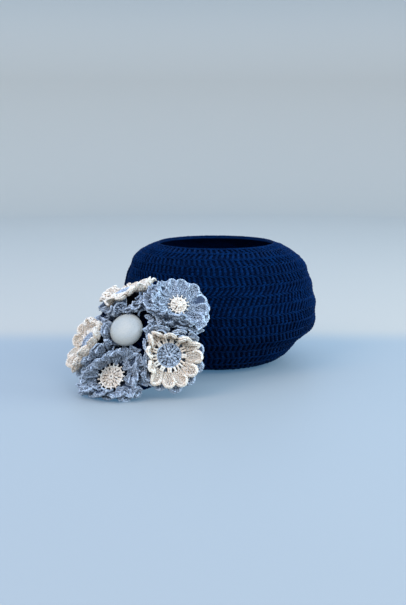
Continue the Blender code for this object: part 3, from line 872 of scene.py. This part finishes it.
def v_stitches(work, place, width_at, length, pitch, rng, above=0.35):
    """Rows of V stitches over a surface place(bend, share): each is two strands that part as they rise.

    With b the stitch's middle and n the row's count, a strand runs from b - 0.14 / n to b - 0.80 / n and its
    twin mirrors it, with its middle raised as half a sine. width_at gives the millimetres across at a share.
    """
    rows = max(round(length / (0.95 * pitch)), 2)
    up = np.linspace(0, 1, 3)
    paths = []
    for row in range(rows):
        count = max(round(width_at((row + 0.6) / rows) / pitch), 2)
        middle = middles(count)
        for side in (-1, 1):
            path = place(middle + side * (0.14 + 0.66 * up) / count, (row + 0.02 + 1.06 * up) / rows)
            path[..., 2] += above + 0.45 * arch(up)
            paths.append(path + rng.normal(0, 0.12, (count, 1, 3)))
    paths = np.concatenate(paths)
    stains = rng.uniform(0, 1, len(paths)) ** 2
    work.strands(paths, pitch * np.array(V_WIDTHS), 4, 0.95, stain_and_shade=stains)


def round_petal(base_half, length, lobe_radius, cup, pitch, loops, rims=RIM_ROWS):
    """How to draw one round petal with its foot at x = 0: rows of V stitches and the loops of its rim.

    A share up the petal and a bend b, from -1 to 1, lie at x = (lobe + lobe radius x cos(spread b)) x share
    and y = base half x b x (1 - share) + lobe radius x sin(spread b) x share. Heights are cup x share ** 2.5,
    so the petal is a shallow cup.
    """
    lobe, spread = length - lobe_radius - RIM, LOBE_SPREAD

    def place(bend, share):
        x = (lobe + lobe_radius * np.cos(spread * bend)) * share
        y = base_half * bend * (1 - share) + lobe_radius * np.sin(spread * bend) * share
        return spot(x, y + 0.7 * bend * arch(share), cup * share**2.5)

    def width_at(share):
        return 2 * base_half * (1 - share) + 2 * spread * lobe_radius * share

    def draw(work, rng):
        v_stitches(work, place, width_at, lobe + lobe_radius, pitch, rng)
        step, share = 2.10 * spread / loops, np.linspace(-1, 1, 4)
        middle = (-1.05 * spread + step * (np.arange(loops) + 0.5))[:, None]
        rim = []
        for number, (beside, up) in enumerate(rims):
            around = middle + 0.60 * step * share + 0.5 * step * number
            out = lobe_radius + beside + (0.30, -0.38)[number] * share
            rim.append(polar(out, around, cup + up + 0.35 * bow(share)) + (lobe, 0, 0))
        rim = np.concatenate(rim)
        rim = rim + rng.normal(0, 0.12, (len(rim), 1, 3))
        work.strands(rim, RIM_WIDTHS, 5, 0.95, stain_and_shade=-1.0)

    return draw


def fan_petal(foot_half, length, top_half, cup, curl, corner=1.5):
    """How to draw one small fan with its foot at x = 0: a thin cloth, V stitches on both sides and loops on
    its top edge.

    A bend b, from -1 to 1, ends at x = length + corner x (b ** 2 - 0.5) and y = top half x b. Heights are
    cup x b ** 2 x share - curl x share ** 2, so its sides rise and its top bends back.
    """

    def place(bend, share):
        x = (length + corner * (bend**2 - 0.5)) * share
        y = (foot_half + (top_half - foot_half) * share**1.2) * bend
        return spot(x, y, cup * bend**2 * share - curl * share**2)

    def width_at(share):
        return 2 * (foot_half + (top_half - foot_half) * share)

    def draw(work, rng):
        skin = place(np.linspace(1, -1, 6), np.linspace(0.95, 0, 4)[:, None])
        # Painted deep shade: the fan's thin cloth takes a first tint of 1.5, which the yarn's material paints
        # at 0.22 of its dark colour, seen in the gaps between the stitches.
        work.slab(skin + (0, 0, 0.15), skin - (0, 0, 0.15), (True, True), stain_and_shade=1.5)
        for above, pitch in ((0.30, 1.9), (-0.75, 2.8)):
            v_stitches(work, place, width_at, length, pitch, rng, above)
        loops = 6
        share = np.linspace(-1, 1, 4)
        top = place(middles(loops) + 1.25 * share / loops, 1.02)
        top[..., 0] += 0.45 * bow(share)
        top[..., 2] += 0.45 * share
        paths = np.concatenate((top, place(np.array(((-1.0,), (1.0,))), 0.6 + 0.4 * share)))
        paths = paths + rng.normal(0, 0.10, (len(paths), 1, 3))
        work.strands(paths, FAN_RIM_WIDTHS, 5, 0.95, stain_and_shade=-1.0)

    return draw


def petal_round(work, draw, angles, start, rng, raised=0.0, wild=1.0, place=lambda points, foot: points):
    """Petals at some angles, their feet on a circle: each is a little larger or smaller, turned and rolled.

    raised is the degrees that they stand up from the flower's face, and wild is how much they differ. They
    are left flat, or put in place by a function of their points and their foot.
    """
    foot = np.array((start, 0.0, 0.0))
    for angle in angles:
        one = Work(rng.integers(1 << 30))
        draw(one, rng)
        size, yaw = 1 + wild * rng.normal(0, 0.03), wild * rng.normal(0, 0.06)
        roll, lift = 0.10 + wild * rng.normal(0, 0.07), math.radians(raised) + wild * rng.normal(0, 0.06)
        turn = Matrix.Rotation(yaw, 3, "Z") @ Matrix.Rotation(-lift, 3, "Y") @ Matrix.Rotation(roll, 3, "X")
        turn = size * np.array(turn).T
        work.take(one, lambda p: place(turned(p @ turn + foot, angle), turned(foot, angle)))


def evenly(count, phase=0.0):
    """Angles that divide a turn evenly."""
    return phase + TURN * np.arange(count) / count


def middles(count):
    """The middles of equal parts from -1 to 1, as a column."""
    return ((2 * np.arange(count) + 1) / count - 1)[:, None]


def ring_of_loops(work, radius, height, rng, wide, pitch):
    """A ring of slanting loops round the flower's middle: each spans 0.59 of the pitch to either side."""
    count = round(TURN * radius / pitch)
    share = np.linspace(-1, 1, 6)
    around = (np.arange(count)[:, None] + 0.59 * share) * TURN / count
    out = radius + 0.35 * share + rng.normal(0, 0.08, (count, 1))
    widths = wide * np.array((0.6, 0.95, 1.05, 1.05, 0.95, 0.6))
    work.strands(polar(out, around, height + 0.25 * bow(share)), widths, 5, 0.95)


def spokes(work, count, start, stop, heights, wide, rng, pair=0.0):
    """Straight radial stitches, one at each angle or, pair millimetres apart, two."""
    share = np.linspace(0, 1, 6)
    radius = start + (stop - start) * share
    z = heights[0] + (heights[1] - heights[0]) * share + 0.3 * arch(share)
    widths = wide * np.array((1.10, 1.05, 0.90, 0.90, 1.05, 1.20))
    for side in (-0.5, 0.5) if pair else (0,):
        angle = evenly(count)[:, None] + rng.normal(0, 0.03, (count, 1))
        x = radius * np.cos(angle) - pair * side * np.sin(angle)
        y = radius * np.sin(angle) + pair * side * np.cos(angle)
        work.strands(spot(x, y, z), widths, 7, 0.85, 2.4, 0.15)


def round_cloth(number, front, start, edge, foot, cup):
    """A round cloth just under the face of a layer, from its edge in to a start radius, as a welded slab.

    edge is a function of the angle; the columns run against the clock and the rows inward. It cups as its
    petals do, by cup x share ** 2.5, with the share of the way from the foot radius to the edge. Painted
    shade darkens it inward from 1.1 millimetres outside the foot radius, in full from 0.4 inside it.
    """
    lay, work = lay_on(number, front), Work()
    turn = np.linspace(0, TURN, 97)
    share = np.linspace(1, 0, 9)[:, None]
    radius = start + (edge(turn) - start) * share
    rise = cup * np.clip((radius - foot) / (edge(turn) - foot), 0, 1) ** 2.5
    skins = [polar(radius, turn, off + rise) for off in (-0.1, -0.7)]
    skins = [lay(skin.reshape(-1, 3)).reshape(skin.shape) for skin in skins]
    # Painted shade round the flower's middle, where the petals' feet and the centre would shade the cloth.
    work.slab(*skins, stain_and_shade=np.clip((foot + 1.1 - radius) / 1.5, 0, 1))
    width, area = 2 * edge(turn).max() * MM, math.pi * (edge(turn) ** 2 - start**2).mean() * MM**2
    return work, {"flat": (width, width), "area": area}


def scallops(phase, lobe, lobe_radius):
    """The edge of the cloth, a little inside round petals' rims, as a function of the angle.

    With b the angle from the nearest petal, lobes reach lobe cos b + sqrt(radius ** 2 - (lobe sin b) ** 2).
    """
    step = TURN / PETALS

    def edge(turn):
        near = (turn - phase + 0.5 * step) % step - 0.5 * step
        inside = np.clip(lobe_radius**2 - (lobe * np.sin(near)) ** 2, 0, None)
        return lobe * np.cos(near) + np.sqrt(inside) - CLOTH_INSIDE

    return edge


def centre_disc(work, radius, rng):
    """A round centre over a low dark dome: rounds of stitches, each a V that opens outward, and an edge.

    The dome is level + rise x (1 - (r / radius) ** 2), and it is dark by painted deep shade.
    """

    def dome(r):
        return CENTRE_LEVEL + CENTRE_RISE * (1 - (r / radius) ** 2)

    rows = radius * np.linspace(1, 0, 9)[:, None] * 0.94
    top = polar(rows, np.linspace(0, TURN, 49), dome(rows) - 0.7)
    # Painted deep shade: the dome takes a first tint of 1.6, which the yarn's material paints at 0.22 of its
    # dark colour.
    work.slab(top, top * (1, 1, 0) + (0, 0, CENTRE_LEVEL - 2.2), stain_and_shade=1.6)
    rounds = np.linspace(0.10, 0.93, 4 if radius > 7 else 3) * radius
    share = np.linspace(0, 1, 6)
    for count, start, stop in zip((6, 11, 16), rounds, rounds[1:]):
        middle = evenly(count)[:, None] + rng.normal(0, 0.04, (count, 1))
        for side in (1, -1):
            r = start + (stop - start) * share + 0.25 * arch(share)
            angle = middle + side * (0.10 + 0.17 * share) * TURN / count
            path = polar(r, angle, dome(r) + 0.55 * arch(share) + rng.normal(0, 0.08, (count, 1)))
            stain = rng.uniform(0, 1, count)
            work.strands(path, (0.50, 0.64, 0.70, 0.70, 0.64, 0.50), 5, 0.95, 1.5, 0.1, stain)
    ring_of_loops(work, radius * 0.98, CENTRE_LEVEL + 0.1, rng, 0.72, 2.3)
    ring_of_loops(work, radius * 0.16, dome(0) + 0.2, rng, 0.62, 1.9)


TIERS = {
    # fan, the angles of a round of them, foot, raised, unevenness
    "small": (
        ((1.0, 6.4, 3.5, 1.2, 1.4), np.linspace(2.0, 4.9, 6), 9.5, 34.0, 3.0),
        ((1.0, 7.0, 3.8, 1.2, 1.4), np.linspace(1.8, 4.9, 8), 14.5, 34.0, 3.0),
        ((1.0, 7.0, 3.8, 1.2, 1.4), np.linspace(2.1, 5.1, 8), 19.0, 28.0, 3.0),
    ),
    "grey": (
        ((0.9, 6.8, 4.0, 1.0, 1.2, 1.9), evenly(8, 0.1), 10.2, 36.0, 1.0),
        ((0.9, 7.2, 4.2, 1.2, 1.2, 2.1), evenly(10, 0.3), 15.0, 26.0, 1.0),
        ((0.9, 7.2, 4.3, 1.2, 1.2, 2.1), evenly(12, 0.2), 19.4, 16.0, 1.0),
    ),
}


def flower(number):
    """One flower: cloth and yarn of its back round and front round of petals, and its centre."""
    name, *_, reach, colour = FLOWERS[number]
    kind = "small" if name == "upper_right" else colour
    rng = np.random.default_rng(FLOWER_SEED + number)
    for front, side, yarn, shape in ((False, "back", "grey", "back"), (True, "front", colour, kind)):
        start, base, under_base, lobe_radius, cup, pitch, loops, hole = LAYERS[shape]
        phase, far = (0.0, reach) if front else (BACK_PHASE, reach + BACK_LONGER)
        edge = scallops(phase, far - lobe_radius - RIM, lobe_radius)
        cloth, cut = round_cloth(number, front, hole, edge, start, cup)
        layer, slot = f"flower_{name}_{side}", f"{yarn}_cotton"
        cloth = cloth.piece(f"{layer}_cloth", CLOTHS[yarn], slot, (layer,), True)

        drawn, laid, lay, plant = Work(), Work(), lay_on(number, front), plant_on(number, front)
        draw = round_petal(base, far - start, lobe_radius, cup, pitch, loops)
        petal_round(drawn, draw, evenly(PETALS, phase), start, rng)
        if shape == "cream":
            spokes(drawn, *CREAM_SPOKES, rng, pair=1.9)
        laid.take(drawn, lay)
        for fan, angles, foot, raised, wild in TIERS.get(shape, ()):
            petal_round(laid, fan_petal(*fan), angles, foot, rng, raised, wild, plant)

        drawn = Work()
        pitch = 2.3 if front and name in ("left", "top") else 2.8
        draw = round_petal(under_base, far - start, lobe_radius, -cup, pitch, loops - 1, UNDER_ROWS)
        petal_round(drawn, draw, evenly(PETALS, -phase), start, rng, wild=0.5)
        laid.take(drawn, lambda p: lay(p * UNDERSIDE))
        for up, middle, half, count, foot, raised in () if front else rows_of(FRINGES, number):
            angles = np.radians(np.linspace(middle - half, middle + half, count)) * up
            place = plant if up > 0 else lambda p, foot: plant(p * UNDERSIDE, foot * UNDERSIDE)
            petal_round(laid, fan_petal(*FRINGE_FAN), angles, foot, rng, raised, FRINGE_WILD, place)
        petals = laid.piece(f"{layer}_petals", YARNS[yarn], slot)

    drawn, laid = Work(), Work()
    radius, *rays = CENTRES[kind]
    centre_disc(drawn, radius, rng)
    if rays:
        spokes(drawn, *rays, rng)
    laid.take(drawn, lay)
    other = "cream" if colour == "grey" else "grey"
    laid.piece(f"flower_{name}_middle", YARNS[other], f"{other}_cotton", (f"flower_{name}_centre",), True)


# ---- floor, light and camera


def stage():
    """A pale floor whose far edge curves up all round into a wall, with a faint painted blue glow, and soft
    light.
    """
    edge, bend = FLOOR_RADII[-1], np.linspace(0, math.pi / 2, 17)[1:]
    curve = [(radius, 0.0) for radius in FLOOR_RADII]
    curve += [(edge + FLOOR_BEND * math.sin(b), FLOOR_BEND - FLOOR_BEND * math.cos(b)) for b in bend]
    curve = np.array(curve + [(edge + FLOOR_BEND, WALL_TOP)])[::-1]
    skin = polar(curve[:, :1], np.linspace(0, TURN, 97), curve[:, 1:])
    work = Work()
    work.slab(skin, skin * (1.01, 1.01, 1) - (0, 0, 20))
    floor = bpy.data.objects.new("floor", work.mesh("floor", True))
    bpy.context.collection.objects.link(floor)
    make = Finish("pale_floor", 0.55, specular=0.3)
    deep = make.node("SeparateXYZ", make.here).outputs[1]
    near_tone = make.mix(make.noise(3.0, 2.0, 0.4), (0.307, 0.256, 0.200), (0.330, 0.275, 0.215))
    far = make.spread(deep, 0.06, 0.14, interpolation_type="SMOOTHSTEP")
    # Painted light: the floor glows a faint blue, though it is no lamp, and so lifts its shadows.
    make.shader["Emission Color"].default_value = (0.20, 0.55, 1.00, 1.0)
    make.shader["Emission Strength"].default_value = 0.21
    floor.data.materials.append(make.done(make.mix(far, near_tone, (0.46, 0.33, 0.21))))

    world = bpy.data.worlds.new("room")
    bpy.context.scene.world = world
    world.use_nodes = True
    background = world.node_tree.nodes["Background"].inputs
    background["Color"].default_value, background["Strength"].default_value = (0.40, 0.62, 1.00, 1.0), 2.00
    for name, place, size, power, colour in (
        ("key", (-900, -800, 1200), 900, 9.0, (1.0, 0.84, 0.62)),
        ("side", (1200, -100, 400), 800, 15.5, (0.58, 0.83, 1.0)),
        ("fill", (450, -1200, 850), 900, 6.0, (0.85, 0.93, 1.0)),
    ):
        lamp = bpy.data.lights.new(name, "AREA")
        lamp.size, lamp.energy, lamp.color = size * MM, power, colour
        item = bpy.data.objects.new(name, lamp)
        item.location = Vector(place) * MM
        item.rotation_euler = (Vector(LAMP_AIM) - Vector(place)).to_track_quat("-Z", "Y").to_euler()
        bpy.context.collection.objects.link(item)


def camera():
    """The camera, looking along Y and down, with its focal length as a share of the picture's width."""
    lens = bpy.data.cameras.new("camera")
    lens.sensor_width, lens.lens, lens.clip_start = 36, 36 * FOCAL_SHARE, 0.01
    item = bpy.data.objects.new("camera", lens)
    item.location = Vector(CAMERA_PLACE) * MM
    item.rotation_euler = (math.radians(90 - CAMERA_DOWN), 0, 0)
    bpy.context.collection.objects.link(item)
    bpy.context.scene.camera = item


pot_cover()
lid_cover()
knob()
for number in range(len(FLOWERS)):
    flower(number)
stage()
camera()
bpy.context.scene.view_settings.view_transform = "Standard"
